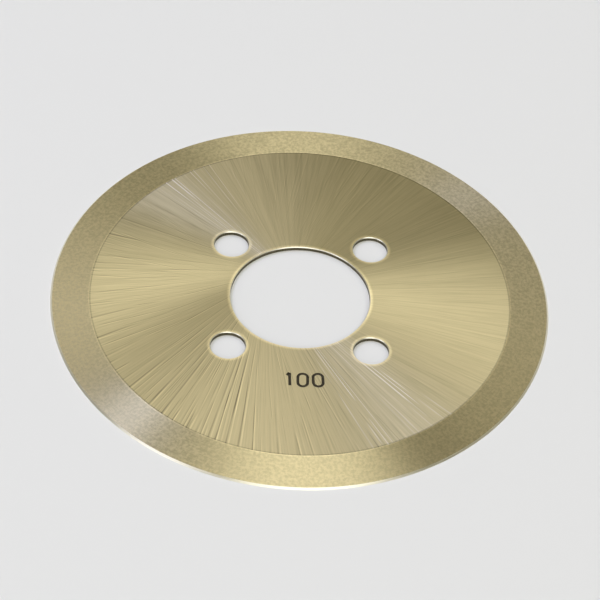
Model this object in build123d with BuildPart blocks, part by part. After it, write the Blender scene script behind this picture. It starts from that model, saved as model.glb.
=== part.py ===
from build123d import *
import os

# Circular slitting knife of hardened steel, ground flat on the back and bevelled on the face.
# The origin is on the axis, at the flat back on which the knife lies. All sizes in millimetres.

knife_diameter = 100.0
knife_thickness = 1.0
bore_diameter = 28.0

# The main bevel runs from the flat face almost to the rim, and a short honed bevel ends in the edge.
bevel_width = 7.8
hone_width = 0.35
hone_height = 0.35

# Screws on this circle clamp the knife to its holder.
bolt_circle_diameter = 40.0
bolt_hole_diameter = 7.0
bolt_hole_count = 4
bolt_hole_start_angle = 45.0

# Broken corner at both ends of the bore and of each screw hole.
edge_break = 0.15

knife_radius = knife_diameter / 2
bore_radius = bore_diameter / 2
bolt_circle_radius = bolt_circle_diameter / 2
bolt_hole_radius = bolt_hole_diameter / 2

os.makedirs("parts", exist_ok=True)

with BuildPart() as blade:
    # Half section: flat back, sharp edge, honed bevel, main bevel, flat face, bore wall.
    with BuildSketch(Plane.XZ):
        with BuildLine():
            Polyline(
                (bore_radius, 0),
                (knife_radius, 0),
                (knife_radius - hone_width, hone_height),
                (knife_radius - bevel_width, knife_thickness),
                (bore_radius, knife_thickness),
                close=True,
            )
        make_face()
    revolve(axis=Axis.Z)

    with PolarLocations(bolt_circle_radius, bolt_hole_count, bolt_hole_start_angle):
        Hole(bolt_hole_radius)

    # The mouths of the bore and the screw holes are the circles inside the bevel on face and back.
    mouths = blade.edges().filter_by(GeomType.CIRCLE).filter_by(lambda edge: edge.radius <= bore_radius)
    chamfer(mouths, edge_break)

blade.part.label = "blade"
export_step(blade.part, "parts/blade.step")
print("blade", round(blade.part.volume, 2), "mm3")
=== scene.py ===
import math

import bpy
import numpy as np
from mathutils import Matrix, Vector


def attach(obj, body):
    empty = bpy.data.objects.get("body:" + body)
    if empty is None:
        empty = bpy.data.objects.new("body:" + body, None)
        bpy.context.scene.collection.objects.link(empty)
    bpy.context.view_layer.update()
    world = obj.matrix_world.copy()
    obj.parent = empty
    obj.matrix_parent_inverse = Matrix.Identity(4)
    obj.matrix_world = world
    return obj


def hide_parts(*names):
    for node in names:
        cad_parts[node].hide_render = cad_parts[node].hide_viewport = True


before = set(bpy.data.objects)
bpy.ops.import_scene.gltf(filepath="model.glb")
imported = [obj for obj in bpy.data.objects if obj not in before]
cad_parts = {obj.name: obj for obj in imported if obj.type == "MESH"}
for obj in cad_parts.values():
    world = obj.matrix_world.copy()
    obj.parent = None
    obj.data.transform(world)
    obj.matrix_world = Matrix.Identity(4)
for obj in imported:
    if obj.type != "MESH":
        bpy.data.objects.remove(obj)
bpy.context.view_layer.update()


# Small helpers for node trees.
def addNode(tree, kind, inputs=None, **settings):
    node = tree.nodes.new(kind)
    for name, value in settings.items():
        setattr(node, name, value)
    for key, value in (inputs or {}).items():
        feed(tree, value, node.inputs[key])
    return node


def feed(tree, value, socket):
    if isinstance(value, bpy.types.NodeSocket):
        tree.links.new(value, socket)
    else:
        socket.default_value = value


def calc(tree, operation, *values):
    node = addNode(tree, "ShaderNodeMath", operation=operation)
    for socket, value in zip(node.inputs, values):
        feed(tree, value, socket)
    return node.outputs[0]


def point(tree, x, y, z):
    return addNode(tree, "ShaderNodeCombineXYZ", {"X": x, "Y": y, "Z": z}).outputs[0]


def vectorCalc(tree, operation, inputs):
    return addNode(tree, "ShaderNodeVectorMath", inputs, operation=operation)


def turned(tree, vector, angle):
    inputs = {"Vector": vector, "Angle": angle}
    return addNode(tree, "ShaderNodeVectorRotate", inputs, rotation_type="Z_AXIS").outputs[0]


def newGroup(name, kind, inputs, outputs):
    tree = bpy.data.node_groups.new(name, kind)
    for label, socketType, value in inputs:
        socket = tree.interface.new_socket(label, in_out="INPUT", socket_type=socketType)
        socket.default_value = value
    for label, socketType in outputs:
        tree.interface.new_socket(label, in_out="OUTPUT", socket_type=socketType)
    given, result = tree.nodes.new("NodeGroupInput"), tree.nodes.new("NodeGroupOutput")
    return tree, given.outputs, result.inputs


# The knife's sizes in metres. Each is an input of its node tree.
knife = {
    "Outer Radius": 0.050,
    "Thickness": 0.001,
    "Bore Radius": 0.014,
    "Bevel Width": 0.0078,
    "Hone Width": 0.00035,
    "Hone Height": 0.00035,
    "Edge Break": 0.00015,
    "Screw Circle": 0.020,
    "Screw Hole": 0.0035,
    "Screw Count": 4,
    "Start Angle": math.radians(45),
    "Rim Steps": 360,
    "Hole Steps": 96,
}

# How the knife is meshed, and how near counts as the same point, plane or slope.
meshing = {
    "Flat Rings": 7,
    "Same Point": 1e-7,
    "Doubled Point": 2e-7,
    "Same Plane": 1e-6,
    "Level": 0.9999,
    "Broken Corner": 0.3,
    "Sharp Angle": math.radians(4.5),
}

# Hand-stamped digits: the knife's diameter in millimetres. Each stands a little off the line.
sizeMark = {
    "Digit Height": 0.0033,
    "Digit Width": 0.0019,
    "Stroke Radius": 0.00032,
    "Stroke Depth": 0.00017,
    "Nose Steps": 14,
    "Nought Rounding": 0.98,
    "Nought Steps": 10,
    "Flag Reach": 0.6,
    "Flag Foot": 0.62,
    "Digits": [
        ("one", -0.00265, 0.00005, math.radians(2.0)),
        ("nought", -0.0001, -0.00008, math.radians(0.4)),
        ("nought", 0.0029, 0.00004, math.radians(3.0)),
    ],
    "Centre": Vector((0.0008, -0.0226, 0)),
}


def turnedSolid(tree, profile, steps):
    # A grid whose rows are the profile's points, wrapped round Z. The profile runs outwards on top.
    count = len(profile)
    around = calc(tree, "ADD", steps, 1)
    grid = addNode(tree, "GeometryNodeMeshGrid", {"Vertices X": count, "Vertices Y": around})
    index = addNode(tree, "GeometryNodeInputIndex").outputs[0]
    row = calc(tree, "FLOOR", calc(tree, "DIVIDE", index, around))
    column = calc(tree, "MODULO", index, around)
    choose = addNode(tree, "GeometryNodeIndexSwitch", data_type="VECTOR")
    while len(choose.index_switch_items) < count:
        choose.index_switch_items.new()
    tree.links.new(row, choose.inputs[0])
    for place, (radius, height) in enumerate(profile):
        tree.links.new(point(tree, radius, 0, height), choose.inputs[place + 1])
    angle = calc(tree, "MULTIPLY", column, calc(tree, "DIVIDE", math.tau, steps))
    wrapped = turned(tree, choose.outputs[0], angle)
    placed = addNode(
        tree, "GeometryNodeSetPosition", {"Geometry": grid.outputs["Mesh"], "Position": wrapped}
    )
    return mergePoints(tree, placed.outputs[0], meshing["Same Point"])


def mergePoints(tree, geometry, distance):
    inputs = {"Geometry": geometry, "Distance": distance}
    return addNode(tree, "GeometryNodeMergeByDistance", inputs).outputs[0]


def ringsBetween(tree, inner, outer, height):
    # Rings across a flat, from the inner radius outwards, so that the flat's UV map can curve.
    steps = meshing["Flat Rings"]
    span = calc(tree, "SUBTRACT", outer, inner)
    return [
        (calc(tree, "MULTIPLY_ADD", span, step / steps, inner), height) for step in range(1, steps)
    ]


def cut(tree, whole, tool, toolCrosses=False):
    boolean = addNode(
        tree,
        "GeometryNodeMeshBoolean",
        {"Self Intersection": toolCrosses},
        operation="DIFFERENCE",
        solver="EXACT",
    )
    tree.links.new(whole, boolean.inputs["Mesh 1"])
    tree.links.new(tool, boolean.inputs["Mesh 2"])
    return boolean.outputs["Mesh"]


def stroke(tree, start, end):
    inputs = {"Start": start, "End": end}
    return addNode(tree, "GeometryNodeCurvePrimitiveLine", inputs).outputs["Curve"]


def digitPunches(tree, top):
    # Round-nosed punches that follow each digit's strokes, sunk by the stroke depth.
    high, wide = sizeMark["Digit Height"] / 2, sizeMark["Digit Width"] / 2
    oval = addNode(
        tree, "GeometryNodeCurvePrimitiveQuadrilateral", {"Width": 2 * wide, "Height": 2 * high}
    )
    rounding = {
        "Curve": oval.outputs[0],
        "Radius": wide * sizeMark["Nought Rounding"],
        "Count": sizeMark["Nought Steps"],
    }
    rounded = addNode(tree, "GeometryNodeFilletCurve", rounding, mode="POLY")
    flagFoot = (-wide * sizeMark["Flag Reach"], high * sizeMark["Flag Foot"], 0)
    shapes = {
        "one": [stroke(tree, (0, -high, 0), (0, high, 0)), stroke(tree, (0, high, 0), flagFoot)],
        "nought": [rounded.outputs[0]],
    }
    nose = addNode(
        tree,
        "GeometryNodeCurvePrimitiveCircle",
        {"Resolution": sizeMark["Nose Steps"], "Radius": sizeMark["Stroke Radius"]},
    )
    lift = calc(tree, "ADD", top, sizeMark["Stroke Radius"] - sizeMark["Stroke Depth"])
    together = addNode(tree, "GeometryNodeJoinGeometry")
    for name, across, up, lean in sizeMark["Digits"]:
        x, y = sizeMark["Centre"].x + across, sizeMark["Centre"].y + up
        for curve in shapes[name]:
            sweep = addNode(
                tree,
                "GeometryNodeCurveToMesh",
                {"Curve": curve, "Profile Curve": nose.outputs[0], "Fill Caps": True},
            )
            place = {
                "Geometry": sweep.outputs[0],
                "Translation": point(tree, x, y, lift),
                "Rotation": (0, 0, lean),
            }
            placed = addNode(tree, "GeometryNodeTransform", place)
            tree.links.new(placed.outputs[0], together.inputs[0])
    return together.outputs[0]


def holeCutters(tree, given, top):
    # Each cutter is a spool, so that it also breaks the hole's two corners.
    flare = calc(tree, "MULTIPLY", given["Edge Break"], 2.0)
    mouth = calc(tree, "ADD", given["Screw Hole"], flare)
    over = calc(tree, "ADD", top, given["Edge Break"])
    under = calc(tree, "MULTIPLY", given["Edge Break"], -1.0)
    profile = [
        (0.0, over),
        (mouth, over),
        (given["Screw Hole"], calc(tree, "SUBTRACT", top, given["Edge Break"])),
        (given["Screw Hole"], given["Edge Break"]),
        (mouth, under),
        (0.0, under),
    ]
    spool = turnedSolid(tree, profile, given["Hole Steps"])
    circle = addNode(
        tree,
        "GeometryNodeMeshCircle",
        {"Vertices": given["Screw Count"], "Radius": given["Screw Circle"]},
    )
    placed = addNode(
        tree,
        "GeometryNodeTransform",
        {"Geometry": circle.outputs[0], "Rotation": point(tree, 0, 0, given["Start Angle"])},
    )
    spools = addNode(
        tree, "GeometryNodeInstanceOnPoints", {"Points": placed.outputs[0], "Instance": spool}
    )
    return addNode(
        tree, "GeometryNodeRealizeInstances", {"Geometry": spools.outputs[0]}
    ).outputs[0]


def buildKnifeTree(material):
    sizes = [
        (label, "NodeSocketInt" if isinstance(value, int) else "NodeSocketFloat", value)
        for label, value in knife.items()
    ]
    tree, given, result = newGroup(
        "knifeBlank", "GeometryNodeTree", sizes, [("Geometry", "NodeSocketGeometry")]
    )
    rim, top, bore = given["Outer Radius"], given["Thickness"], given["Bore Radius"]
    lip = calc(tree, "ADD", bore, given["Edge Break"])
    crest = calc(tree, "SUBTRACT", rim, given["Bevel Width"])
    profile = [
        (lip, top),
        *ringsBetween(tree, lip, crest, top),
        (crest, top),
        (calc(tree, "SUBTRACT", rim, given["Hone Width"]), given["Hone Height"]),
        (rim, 0.0),
        *reversed(ringsBetween(tree, lip, rim, 0.0)),
        (lip, 0.0),
        (bore, given["Edge Break"]),
        (bore, calc(tree, "SUBTRACT", top, given["Edge Break"])),
        (lip, top),
    ]
    blank = turnedSolid(tree, profile, given["Rim Steps"])
    drilled = cut(tree, blank, holeCutters(tree, given, top))
    stamped = cut(tree, drilled, digitPunches(tree, top), toolCrosses=True)

    # The cuts leave a few doubled points.
    merged = mergePoints(tree, stamped, meshing["Doubled Point"])
    whole = addNode(tree, "GeometryNodeRealizeInstances", {"Geometry": merged})
    dressed = addNode(
        tree, "GeometryNodeSetMaterial", {"Geometry": whole.outputs[0], "Material": material}
    )
    tree.links.new(dressed.outputs[0], result["Geometry"])
    return tree


def makeKnife(materials):
    tree = buildKnifeTree(materials["face"])
    seed = bpy.data.objects.new("knifeSeed", bpy.data.meshes.new("knifeSeed"))
    bpy.context.collection.objects.link(seed)
    modifier = seed.modifiers.new("knifeBlank", "NODES")
    modifier.node_group = tree
    for item in tree.interface.items_tree:
        if item.in_out == "INPUT":
            modifier[item.identifier] = knife[item.name]
    evaluated = seed.evaluated_get(bpy.context.evaluated_depsgraph_get())
    mesh = bpy.data.meshes.new_from_object(evaluated)
    bpy.data.objects.remove(seed)
    mesh.name = "knifeBlade"
    mesh.materials.clear()
    for finish in finishes:
        mesh.materials.append(materials[finish])
    body = bpy.data.objects.new("knifeBlade", mesh)
    bpy.context.collection.objects.link(body)
    return body


# The grinding marks of the flats run straight outwards, past a centre of their own, at the lead's
# distance.
facePlace = {"Centre X": -0.0042, "Centre Y": 0.0041, "Lead": 0.0026}

# The mesh's material slots in their order, and the finish of each zone of the surface.
finishes = ["face", "bevel", "hone", "walls", "mark"]
zoneFinish = {
    "face": "face",
    "back": "face",
    "bevel": "bevel",
    "hone": "hone",
    "bore": "walls",
    "hole": "walls",
    "mark": "mark",
}

# The UV map: each zone's strip in V, and the distances from the axis, or heights, at its two edges.
crestRadius = knife["Outer Radius"] - knife["Bevel Width"]
honeRadius = knife["Outer Radius"] - knife["Hone Width"]
uvMap = {
    "strips": {
        "face": (0.02, 0.42, 0.0, 0.056),
        "bevel": (0.44, 0.60, crestRadius, honeRadius),
        "hone": (0.615, 0.635, honeRadius, knife["Outer Radius"]),
        "back": (0.65, 0.92, 0.0, 0.064),
        "bore": (0.93, 0.945, 0.0, knife["Thickness"]),
        "hole": (0.952, 0.967, 0.0, knife["Thickness"]),
    },
    "flatTurn": 0.98,
    "markPlace": (0.5, 0.985),
    "markScale": (40, 3),
}


def alongMarks(spot):
    # The direction of the mark through this place, and how far out the place lies along it.
    x, y = spot.x - facePlace["Centre X"], spot.y - facePlace["Centre Y"]
    lead, far = facePlace["Lead"], math.hypot(x, y)
    return math.atan2(y, x) + math.asin(lead / far), math.sqrt(far * far - lead * lead)


def roundAxis(spot, pivot):
    # The direction of this place from the pivot, and its distance from the knife's axis.
    return math.atan2(spot.y - pivot.y, spot.x - pivot.x), math.hypot(spot.x, spot.y)


def zoneOf(face, holeGap):
    # The part of the surface that a face belongs to.
    height, slope = face.center.z, face.normal.z
    radius = math.hypot(face.center.x, face.center.y)
    if slope > meshing["Level"] and height > knife["Thickness"] - meshing["Same Plane"]:
        return "face"
    if slope < -meshing["Level"] and height < meshing["Same Plane"]:
        return "back"
    if radius > honeRadius:
        return "hone"
    if radius > crestRadius:
        return "bevel"
    if radius < knife["Bore Radius"] + 2 * knife["Edge Break"]:
        return "bore"
    if holeGap < knife["Screw Hole"] + 2 * knife["Edge Break"]:
        return "hole"
    return "mark"


def sortFaces(mesh):
    # Gives each face its material and its place in the UV map. U runs round the axis, V outwards.
    # On the flats both follow the marks, because the sheen takes its direction from this map.
    layer = mesh.uv_layers.new(name="OFBake")
    holeCount = knife["Screw Count"]
    angles = [knife["Start Angle"] + math.tau * k / holeCount for k in range(holeCount)]
    holes = [Vector((math.cos(a), math.sin(a), 0)) * knife["Screw Circle"] for a in angles]
    counts = dict.fromkeys(zoneFinish, 0)
    for face in mesh.polygons:
        gaps = [(face.center.xy - hole.xy).length for hole in holes]
        nearest = gaps.index(min(gaps))
        zone = zoneOf(face, gaps[nearest])
        counts[zone] += 1
        inHole = zone in ("bore", "hole")
        # Broken corners of the bore and holes take the honed edge's finish, whose pale tone is a
        # painted highlight.
        broken = inHole and abs(face.normal.z) > meshing["Broken Corner"]
        face.material_index = finishes.index("hone" if broken else zoneFinish[zone])
        pivot, share, offset = Vector((0, 0, 0)), 1.0, 0.0
        if zone == "hole":
            pivot, share, offset = holes[nearest], 1 / holeCount, nearest / holeCount
        flat = zone in ("face", "back")
        middle = (alongMarks(face.center) if flat else roundAxis(face.center, pivot))[0]
        for corner in face.loop_indices:
            spot = mesh.vertices[mesh.loops[corner].vertex_index].co
            if zone == "mark":
                offsets = spot.x - sizeMark["Centre"].x, spot.y - sizeMark["Centre"].y
                layer.data[corner].uv = [
                    start + scale * offset
                    for start, scale, offset in zip(uvMap["markPlace"], uvMap["markScale"], offsets)
                ]
                continue
            heading, out = alongMarks(spot) if flat else roundAxis(spot, pivot)
            angle = middle + (heading - middle + math.pi) % math.tau - math.pi
            if flat:
                out += facePlace["Lead"] * angle
                u = 0.5 + uvMap["flatTurn"] * angle / math.tau
            else:
                u = offset + share * min(max(angle / math.tau + 0.5, 0.0), 1.0)
            low, high, first, last = uvMap["strips"][zone]
            reach = (spot.z if inHole else out) - first
            layer.data[corner].uv = (u, low + (high - low) * reach / (last - first))
    print("faces by surface", counts)


# The inputs that place a pattern of marks: their own centre, and how far off they pass it.
placing = [
    ("Centre X", "NodeSocketFloat", 0.0),
    ("Centre Y", "NodeSocketFloat", 0.0),
    ("Lead", "NodeSocketFloat", 0.0),
]

# One scratch in its cell: where it may stand, where it fades, how its depth is spread, and where
# the painted highlight on its lip stands.
scratchShape = {
    "placeSpan": 0.5,
    "placeStart": 0.25,
    "cellStep": 3.17,
    "fadeStart": 0.4,
    "fadeEnd": 0.6,
    "depthPower": 1.5,
    "lipOffset": 1.9,
}


def polarPlace(tree, given):
    # Distance from the marks' centre, and the direction in which the mark through this place runs.
    place = addNode(tree, "ShaderNodeTexCoord").outputs["Object"]
    centre = point(tree, given["Centre X"], given["Centre Y"], 0.0)
    moved = vectorCalc(tree, "SUBTRACT", {0: place, 1: centre}).outputs[0]
    axes = addNode(tree, "ShaderNodeSeparateXYZ", {0: moved})
    flat = point(tree, axes.outputs["X"], axes.outputs["Y"], 0.0)
    radius = vectorCalc(tree, "LENGTH", {0: flat}).outputs["Value"]
    heading = vectorCalc(tree, "NORMALIZE", {0: flat}).outputs[0]
    lean = calc(tree, "ARCSINE", calc(tree, "DIVIDE", given["Lead"], radius))
    return radius, turned(tree, heading, lean)


def buildGrain():
    # Grinding marks: noise drawn out along one direction of a polar grid.
    tree, given, result = newGroup(
        "grindingMarks",
        "ShaderNodeTree",
        [
            ("Around", "NodeSocketFloat", 100.0),
            ("Outwards", "NodeSocketFloat", 20.0),
            ("Detail", "NodeSocketFloat", 2.0),
            ("Offset", "NodeSocketFloat", 0.0),
            *placing,
        ],
        [("Marks", "NodeSocketFloat")],
    )
    radius, heading = polarPlace(tree, given)
    wide = vectorCalc(tree, "SCALE", {0: heading, "Scale": given["Around"]}).outputs[0]
    rise = calc(tree, "MULTIPLY_ADD", radius, given["Outwards"], given["Offset"])
    spot = vectorCalc(tree, "ADD", {0: wide, 1: point(tree, 0.0, 0.0, rise)}).outputs[0]
    noise = addNode(
        tree,
        "ShaderNodeTexNoise",
        {"Vector": spot, "Scale": 1.0, "Roughness": 0.6, "Detail": given["Detail"]},
    )
    tree.links.new(noise.outputs["Fac"], result["Marks"])
    return tree


def buildScratches():
    # Separate grooves: the knife's turn is divided into cells, and each holds one line of its own
    # place and depth. The lines are painted in colour only: painted shade along the groove and a
    # painted highlight on its far lip.
    tree, given, result = newGroup(
        "grindingScratches",
        "ShaderNodeTree",
        [
            ("Count", "NodeSocketFloat", 150.0),
            ("Width", "NodeSocketFloat", 0.1),
            ("Along", "NodeSocketFloat", 60.0),
            ("Seed", "NodeSocketFloat", 0.0),
            ("Strong Side", "NodeSocketFloat", 0.0),
            ("Light Side", "NodeSocketFloat", 1.0),
            ("Side Start", "NodeSocketFloat", -0.1),
            ("Side Full", "NodeSocketFloat", 0.75),
            *placing,
        ],
        [("Grooves", "NodeSocketFloat"), ("Glints", "NodeSocketFloat")],
    )
    shape = scratchShape
    radius, heading = polarPlace(tree, given)
    axes = addNode(tree, "ShaderNodeSeparateXYZ", {0: heading})
    swept = calc(tree, "ARCTAN2", axes.outputs["Y"], axes.outputs["X"])
    turn = calc(tree, "MULTIPLY", calc(tree, "DIVIDE", swept, math.tau), given["Count"])
    cell = calc(tree, "FLOORED_MODULO", calc(tree, "FLOOR", turn), given["Count"])
    seeded = calc(tree, "ADD", cell, given["Seed"])
    chance = addNode(tree, "ShaderNodeTexWhiteNoise", {"W": seeded}, noise_dimensions="1D")
    draws = addNode(tree, "ShaderNodeSeparateXYZ", {0: chance.outputs["Color"]})
    shift = calc(tree, "MULTIPLY_ADD", draws.outputs["X"], shape["placeSpan"], shape["placeStart"])
    across = calc(tree, "SUBTRACT", calc(tree, "FRACT", turn), shift)
    alongLine = point(
        tree,
        calc(tree, "MULTIPLY", cell, shape["cellStep"]),
        calc(tree, "MULTIPLY", radius, given["Along"]),
        0.0,
    )
    reach = addNode(
        tree,
        "ShaderNodeTexNoise",
        {"Vector": alongLine, "Scale": 1.0, "Detail": 1.0},
        noise_dimensions="2D",
    )
    present = addNode(
        tree,
        "ShaderNodeMapRange",
        {
            "Value": reach.outputs["Fac"],
            "From Min": shape["fadeStart"],
            "From Max": shape["fadeEnd"],
        },
    )
    depth = calc(tree, "POWER", draws.outputs["Y"], shape["depthPower"])

    # The painted lines are stronger towards one side of the knife.
    side = turned(tree, (1.0, 0.0, 0.0), given["Strong Side"])
    facing = vectorCalc(tree, "DOT_PRODUCT", {0: heading, 1: side}).outputs["Value"]
    bite = addNode(
        tree,
        "ShaderNodeMapRange",
        {
            "Value": facing,
            "From Min": given["Side Start"],
            "From Max": given["Side Full"],
            "To Min": given["Light Side"],
        },
    )
    shown = calc(tree, "MULTIPLY", depth, present.outputs[0])
    strength = calc(tree, "MULTIPLY", shown, bite.outputs[0])
    # Grooves carries the painted shade along each line, Glints the painted highlight beside it.
    for name, place in (("Grooves", 0.0), ("Glints", shape["lipOffset"])):
        middle = calc(tree, "MULTIPLY", given["Width"], place)
        away = calc(tree, "ABSOLUTE", calc(tree, "SUBTRACT", across, middle))
        fall = calc(tree, "SUBTRACT", 1.0, calc(tree, "DIVIDE", away, given["Width"]))
        line = calc(tree, "MAXIMUM", fall, 0.0)
        tree.links.new(calc(tree, "MULTIPLY", line, strength), result[name])
    return tree


def buildEdgeLight():
    # Painted highlight along the mouths of the bore and the screw holes, and a painted line at the
    # crest where face and bevel meet: shade on the face and a highlight on the bevel. The back has
    # no crest, so nothing below the middle of the thickness gets one.
    tree, given, result = newGroup(
        "paintedEdgeLight",
        "ShaderNodeTree",
        [
            ("Bore Radius", "NodeSocketFloat", knife["Bore Radius"]),
            ("Screw Circle", "NodeSocketFloat", knife["Screw Circle"]),
            ("Screw Hole", "NodeSocketFloat", knife["Screw Hole"]),
            ("Width", "NodeSocketFloat", 0.0004),
            ("Crest Start", "NodeSocketFloat", 0.0419),
            ("Crest End", "NodeSocketFloat", 0.0422),
            ("Middle", "NodeSocketFloat", knife["Thickness"] / 2),
        ],
        [("Mouth Highlight", "NodeSocketFloat"), ("Crest", "NodeSocketFloat")],
    )
    place = addNode(tree, "ShaderNodeTexCoord").outputs["Object"]
    axes = addNode(tree, "ShaderNodeSeparateXYZ", {0: place}).outputs
    squares = [calc(tree, "MULTIPLY", axes[axis], axes[axis]) for axis in "XY"]
    radius = calc(tree, "SQRT", calc(tree, "ADD", *squares))

    # The four holes fall on one another in the folded quarter.
    offAxis = calc(tree, "MULTIPLY", given["Screw Circle"], math.sqrt(0.5))
    folded = [calc(tree, "SUBTRACT", calc(tree, "ABSOLUTE", axes[axis]), offAxis) for axis in "XY"]
    aside = [calc(tree, "POWER", part, 2.0) for part in folded]
    fromHole = calc(
        tree, "SUBTRACT", calc(tree, "SQRT", calc(tree, "ADD", *aside)), given["Screw Hole"]
    )
    fromBore = calc(tree, "SUBTRACT", radius, given["Bore Radius"])
    # The painted highlight fades out across the width from each mouth.
    nearest = calc(tree, "MINIMUM", fromHole, fromBore)
    fade = calc(tree, "SUBTRACT", 1.0, calc(tree, "DIVIDE", nearest, given["Width"]))
    tree.links.new(calc(tree, "MINIMUM", calc(tree, "MAXIMUM", fade, 0.0), 1.0), result["Mouth Highlight"])
    # The crest strip, where each finish paints shade or a highlight by its gain.
    inside = calc(tree, "GREATER_THAN", radius, given["Crest Start"])
    outside = calc(tree, "LESS_THAN", radius, given["Crest End"])
    above = calc(tree, "GREATER_THAN", axes["Z"], given["Middle"])
    onCrest = calc(tree, "MULTIPLY", calc(tree, "MULTIPLY", inside, outside), above)
    tree.links.new(onCrest, result["Crest"])
    return tree


def useGroup(tree, group, values):
    node = addNode(tree, "ShaderNodeGroup", node_tree=group)
    for name, value in values.items():
        feed(tree, value, node.inputs[name])
    return node.outputs


def ramp(tree, value, stops):
    node = addNode(tree, "ShaderNodeValToRGB", {"Fac": value})
    band = node.color_ramp
    while len(band.elements) < len(stops):
        band.elements.new(0.5)
    for element, (place, colour) in zip(band.elements, stops):
        element.position = place
        parts = colour if isinstance(colour, tuple) else (colour, colour, colour)
        element.color = (*parts, 1.0)
    return node.outputs["Color"]


# The metal's colours: ground steel; silver for a lamp's painted reflection along some scratches;
# the honed edge, made pale as a painted highlight; the walls of the holes, darkened as painted
# shade; and the bottom of the stamped strokes, darkened as painted shade.
steelTone = (0.5, 0.428, 0.245)
paintedReflectionTone = (0.86, 0.8, 0.68)
honeHighlightTone = (0.9, 0.85, 0.7)
wallShadeTone = (0.13, 0.115, 0.075)
markShadeTone = (0.07, 0.06, 0.042)
brightest = 1.6


def shades(tone, *steps):
    # Stops of a colour ramp: the tone, made darker or lighter by each step's factor.
    return [(place, tuple(part * factor for part in tone)) for place, factor in steps]


def groundSteel(name, look):
    material = bpy.data.materials.new(name)
    material.use_nodes = True
    tree = material.node_tree
    shader = tree.nodes["Principled BSDF"]
    shader.inputs["Metallic"].default_value = 1.0
    shader.inputs["Anisotropic"].default_value = look["anisotropy"]
    shader.inputs["Anisotropic Rotation"].default_value = look["turn"]
    tangent = addNode(tree, "ShaderNodeTangent", direction_type="UV_MAP", uv_map="OFBake")
    tree.links.new(tangent.outputs[0], shader.inputs["Tangent"])

    # Every layer adds to one height. The scratch lines go into the colour alone: painted shade
    # along each groove, a painted highlight on its far lip, and on some a lamp's painted reflection
    # in silver.
    height, light, paintedReflection = 0.0, 1.0, 0.0
    for weight, values in look["layers"]:
        marks = useGroup(tree, grain, values)["Marks"]
        height = calc(tree, "MULTIPLY_ADD", marks, weight, height)
    for groove in look.get("scratches", []):
        lines = useGroup(tree, scratches, groove["lines"])
        light = calc(tree, "MULTIPLY_ADD", lines["Grooves"], -groove["dark"], light)
        light = calc(tree, "MULTIPLY_ADD", lines["Glints"], groove["glint"], light)
        paintedReflection = calc(tree, "MULTIPLY_ADD", lines["Glints"], groove["silver"], paintedReflection)
    # Painted light along the edges: a highlight at the mouths of the bore and holes, and at the
    # crest shade or a highlight by the sign of the gain.
    if "edges" in look:
        edgeLight = useGroup(tree, edgeLightMask, look["edges"])
        light = calc(tree, "MULTIPLY_ADD", edgeLight["Mouth Highlight"], look["mouthHighlightGain"], light)
        light = calc(tree, "MULTIPLY_ADD", edgeLight["Crest"], look["crestPaintedLight"], light)
    light = calc(tree, "MINIMUM", light, brightest)
    toned = vectorCalc(tree, "SCALE", {0: ramp(tree, height, look["tones"]), "Scale": light})
    # The base colour turns towards silver where a lamp's reflection is painted on.
    paint = addNode(tree, "ShaderNodeMix", {"Factor": paintedReflection}, data_type="RGBA")
    plain, silver = [socket for socket in paint.inputs if socket.type == "RGBA"]
    tree.links.new(toned.outputs[0], plain)
    silver.default_value = (*paintedReflectionTone, 1.0)
    painted = next(socket for socket in paint.outputs if socket.type == "RGBA")
    tree.links.new(painted, shader.inputs["Base Color"])
    tree.links.new(ramp(tree, height, look["roughness"]), shader.inputs["Roughness"])
    bump = addNode(
        tree, "ShaderNodeBump", {"Strength": 1.0, "Distance": look["bump"], "Height": height}
    )
    tree.links.new(bump.outputs[0], shader.inputs["Normal"])
    return material


# The strongly painted grooves stand on one side of the face. The finer ones come from a second pass
# of the wheel and cross the others at a few degrees.
strongSide = {"Strong Side": math.radians(228), **facePlace}
secondPass = {**strongSide, "Centre X": -0.0071, "Centre Y": 0.0018, "Lead": 0.0008}


def reflectionSheaf(degrees):
    # A narrow sheaf of lines towards one direction, where a lamp's painted reflection lies on the
    # face in silver.
    sheaf = {"Light Side": 0.0, "Side Start": 0.965, "Side Full": 0.99}
    return {"Strong Side": math.radians(degrees), **sheaf, **facePlace}


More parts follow.
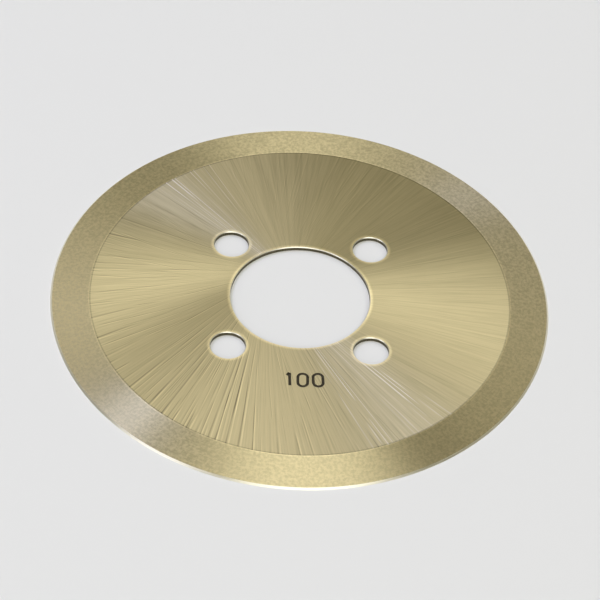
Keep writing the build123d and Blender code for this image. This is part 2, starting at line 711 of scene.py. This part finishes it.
# A layer is its weight and the pattern's values. Ramps give places and factors or roughness.
faceLook = {
    "anisotropy": 0.9,
    "turn": 0.0,
    "layers": [
        (0.25, {"Around": 20.0, "Outwards": 30.0, "Offset": 1.0, **facePlace}),
        (0.35, {"Around": 80.0, "Outwards": 70.0, "Offset": 5.0, **facePlace}),
        (0.40, {"Around": 190.0, "Outwards": 100.0, "Offset": 9.0, **facePlace}),
    ],
    "scratches": [
        {
            "dark": 0.0, "glint": 0.3, "silver": 1.45,
            "lines": {
                "Count": 300.0, "Width": 0.26, "Along": 50.0, "Seed": 11.0, **reflectionSheaf(127),
            },
        },
        {
            "dark": 0.0, "glint": 0.3, "silver": 1.45,
            "lines": {
                "Count": 300.0, "Width": 0.26, "Along": 70.0, "Seed": 21.0, **reflectionSheaf(305),
            },
        },
        {
            "dark": 0.75, "glint": 0.5, "silver": 0.0,
            "lines": {
                "Count": 140.0, "Width": 0.13, "Along": 60.0, "Seed": 3.0,
                "Light Side": 0.12, **strongSide,
            },
        },
        {
            "dark": 0.55, "glint": 0.45, "silver": 0.0,
            "lines": {
                "Count": 330.0, "Width": 0.2, "Along": 110.0, "Seed": 900.0,
                "Light Side": 0.3, **secondPass,
            },
        },
    ],
    "tones": shades(steelTone, (0.36, 0.88), (0.5, 1.05), (0.64, 1.14)),
    "roughness": [(0.4, 0.31), (0.6, 0.385)],
    "bump": 0.00003,
    "edges": {"Width": 0.0008, "Crest Start": 0.04195, "Crest End": 0.0423},
    # Painted highlight around the mouths of the bore and holes.
    "mouthHighlightGain": 0.9,
    # Painted shade along the crest.
    "crestPaintedLight": -0.3,
}

bevelLook = {
    "anisotropy": 0.96,
    "turn": 0.25,
    "layers": [
        (0.25, {"Around": 14.0, "Outwards": 9000.0, "Detail": 3.0, "Offset": 2.0}),
        (0.20, {"Around": 60.0, "Outwards": 25000.0, "Offset": 6.0}),
        (0.55, {"Around": 78.0, "Outwards": 1600.0, "Offset": 11.0}),
    ],
    "tones": shades(steelTone, (0.42, 0.84), (0.5, 1.0), (0.58, 1.16)),
    "roughness": [(0.4, 0.33), (0.6, 0.43)],
    "bump": 0.000008,
    "edges": {"Width": 0.0006, "Crest Start": 0.0421, "Crest End": 0.04245},
    "mouthHighlightGain": 0.0,
    # Painted highlight along the crest.
    "crestPaintedLight": 0.2,
}

honeLook = {
    "anisotropy": 0.3,
    "turn": 0.25,
    "layers": [
        (0.6, {"Around": 6.0, "Outwards": 9000.0, "Offset": 2.0}),
        (0.4, {"Around": 16.0, "Outwards": 20000.0, "Offset": 6.0}),
    ],
    # The honed edge is real; its pale tone is a painted highlight.
    "tones": shades(honeHighlightTone, (0.38, 0.9), (0.5, 1.0), (0.62, 1.06)),
    "roughness": [(0.4, 0.34), (0.6, 0.42)],
    "bump": 0.000001,
}

wallLook = {
    "anisotropy": 0.5,
    "turn": 0.25,
    "layers": bevelLook["layers"],
    # The walls' dark tone is painted shade inside the bore and holes.
    "tones": shades(wallShadeTone, (0.38, 0.7), (0.5, 1.0), (0.62, 1.3)),
    "roughness": [(0.4, 0.4), (0.6, 0.55)],
    "bump": 0.000008,
}

markLook = {
    "anisotropy": 0.0,
    "turn": 0.25,
    "layers": bevelLook["layers"],
    # The strokes' dark tone is painted shade in the stamped recesses.
    "tones": shades(markShadeTone, (0.38, 0.5), (0.5, 1.0), (0.62, 1.8)),
    "roughness": [(0.4, 0.55), (0.6, 0.75)],
    "bump": 0.000008,
}

grain, scratches, edgeLightMask = buildGrain(), buildScratches(), buildEdgeLight()
materials = {
    "face": groundSteel("groundFace", faceLook),
    "bevel": groundSteel("groundBevel", bevelLook),
    "hone": groundSteel("honedEdge", honeLook),
    "walls": groundSteel("boredWalls", wallLook),
    "mark": groundSteel("stampedMark", markLook),
}

blade = makeKnife(materials)
sortFaces(blade.data)
blade.data.shade_smooth()
blade.data.set_sharp_from_angle(angle=meshing["Sharp Angle"])
print("blade made,", len(blade.data.polygons), "faces")
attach(blade, "root")
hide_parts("blade")


# The floor, and a sky with a pale band along the horizon, like the studio's walls. The band's top
# and the sky's start are heights on the unit sphere.
stage = {
    "floor": (0.76, 0.752, 0.73),
    "floorRoughness": 0.9,
    "floorReach": 3.0,
    "walls": (0.7, 0.69, 0.67),
    "wallTop": 0.08,
    "sky": (0.13, 0.118, 0.05),
    "skyStart": 0.24,
}


def makeFloor():
    mesh = bpy.data.meshes.new("floor")
    far = stage["floorReach"]
    corners = [(-far, -far, 0), (far, -far, 0), (far, far, 0), (-far, far, 0)]
    mesh.from_pydata(corners, [], [(0, 1, 2, 3)])
    floor = bpy.data.objects.new("floor", mesh)
    bpy.context.collection.objects.link(floor)
    material = bpy.data.materials.new("paleFloor")
    material.use_nodes = True
    shader = material.node_tree.nodes["Principled BSDF"]
    shader.inputs["Base Color"].default_value = (*stage["floor"], 1)
    shader.inputs["Roughness"].default_value = stage["floorRoughness"]
    mesh.materials.append(material)


def makeSky():
    world = bpy.data.worlds.new("studio")
    world.use_nodes = True
    tree = world.node_tree
    direction = addNode(tree, "ShaderNodeTexCoord").outputs["Generated"]
    axes = addNode(tree, "ShaderNodeSeparateXYZ", {0: direction})
    stops = [(stage["wallTop"], stage["walls"]), (stage["skyStart"], stage["sky"])]
    sky = ramp(tree, axes.outputs["Z"], stops)
    tree.links.new(sky, tree.nodes["Background"].inputs["Color"])
    bpy.context.scene.world = world


# Azimuth from the far side towards the right and elevation above the floor, in degrees. Size is
# width and height in metres, at the lamps' distance from the knife.
lamps = {
    "behind": {
        "azimuth": 172, "elevation": 63, "size": (1.2, 2.6),
        "radiance": 1.95, "colour": (0.97, 0.99, 1),
    },
    "backHigh": {
        "azimuth": 4, "elevation": 65, "size": (0.38, 1.07),
        "radiance": 1.85, "colour": (0.95, 0.96, 1),
    },
    "backLow": {
        "azimuth": -30, "elevation": 43, "size": (0.66, 0.61),
        "radiance": 2.05, "colour": (0.89, 0.9, 1),
    },
    "left": {
        "azimuth": -63.5, "elevation": 60, "size": (0.6, 0.14),
        "radiance": 16.5, "colour": (0.54, 0.6, 1),
    },
    "leftFill": {
        "azimuth": -122, "elevation": 26, "size": (0.59, 1.66),
        "radiance": 1.8, "colour": (0.86, 0.87, 1),
    },
    "right": {
        "azimuth": 67, "elevation": 45.5, "size": (1.59, 0.5),
        "radiance": 1.1, "colour": (1, 1, 1),
    },
}
lampDistance = 1.5


def makeLamps():
    for name, lamp in lamps.items():
        light = bpy.data.lights.new(name, "AREA")
        light.shape = "RECTANGLE"
        light.size, light.size_y = lamp["size"]
        light.energy = lamp["radiance"] * math.pi * light.size * light.size_y
        light.color = lamp["colour"]
        thing = bpy.data.objects.new(name, light)
        bpy.context.collection.objects.link(thing)
        azimuth, elevation = math.radians(lamp["azimuth"]), math.radians(lamp["elevation"])
        level = math.cos(elevation)
        way = Vector((math.sin(azimuth) * level, math.cos(azimuth) * level, math.sin(elevation)))
        thing.location = way * lampDistance
        thing.rotation_euler = way.to_track_quat("Z", "Y").to_euler()


# The camera looks at the knife from the photograph's side, with a longer lens. Roll in degrees.
camera = {
    "place": Vector((-0.01656, -0.40673, 0.41882)),
    "target": Vector((0.0, 0.0, 0.0)),
    "roll": 4.0,
    "frameShare": 0.83,
    "sensor": 36,
    "clipStart": 0.01,
}


def makeCamera():
    data = bpy.data.cameras.new("camera")
    thing = bpy.data.objects.new("camera", data)
    bpy.context.collection.objects.link(thing)
    away = camera["place"] - camera["target"]
    aimed = away.to_track_quat("Z", "Y").to_matrix()
    rolled = aimed @ Matrix.Rotation(math.radians(camera["roll"]), 3, "Z")
    thing.matrix_world = Matrix.Translation(camera["place"]) @ rolled.to_4x4()
    data.sensor_width = camera["sensor"]
    share = camera["frameShare"] / (2 * knife["Outer Radius"])
    data.lens = camera["sensor"] * share * away.length
    data.clip_start = camera["clipStart"]
    bpy.context.scene.camera = thing


makeFloor()
makeLamps()
makeSky()
makeCamera()
bpy.context.scene.view_settings.view_transform = "Standard"
print("floor, lamps and camera placed")
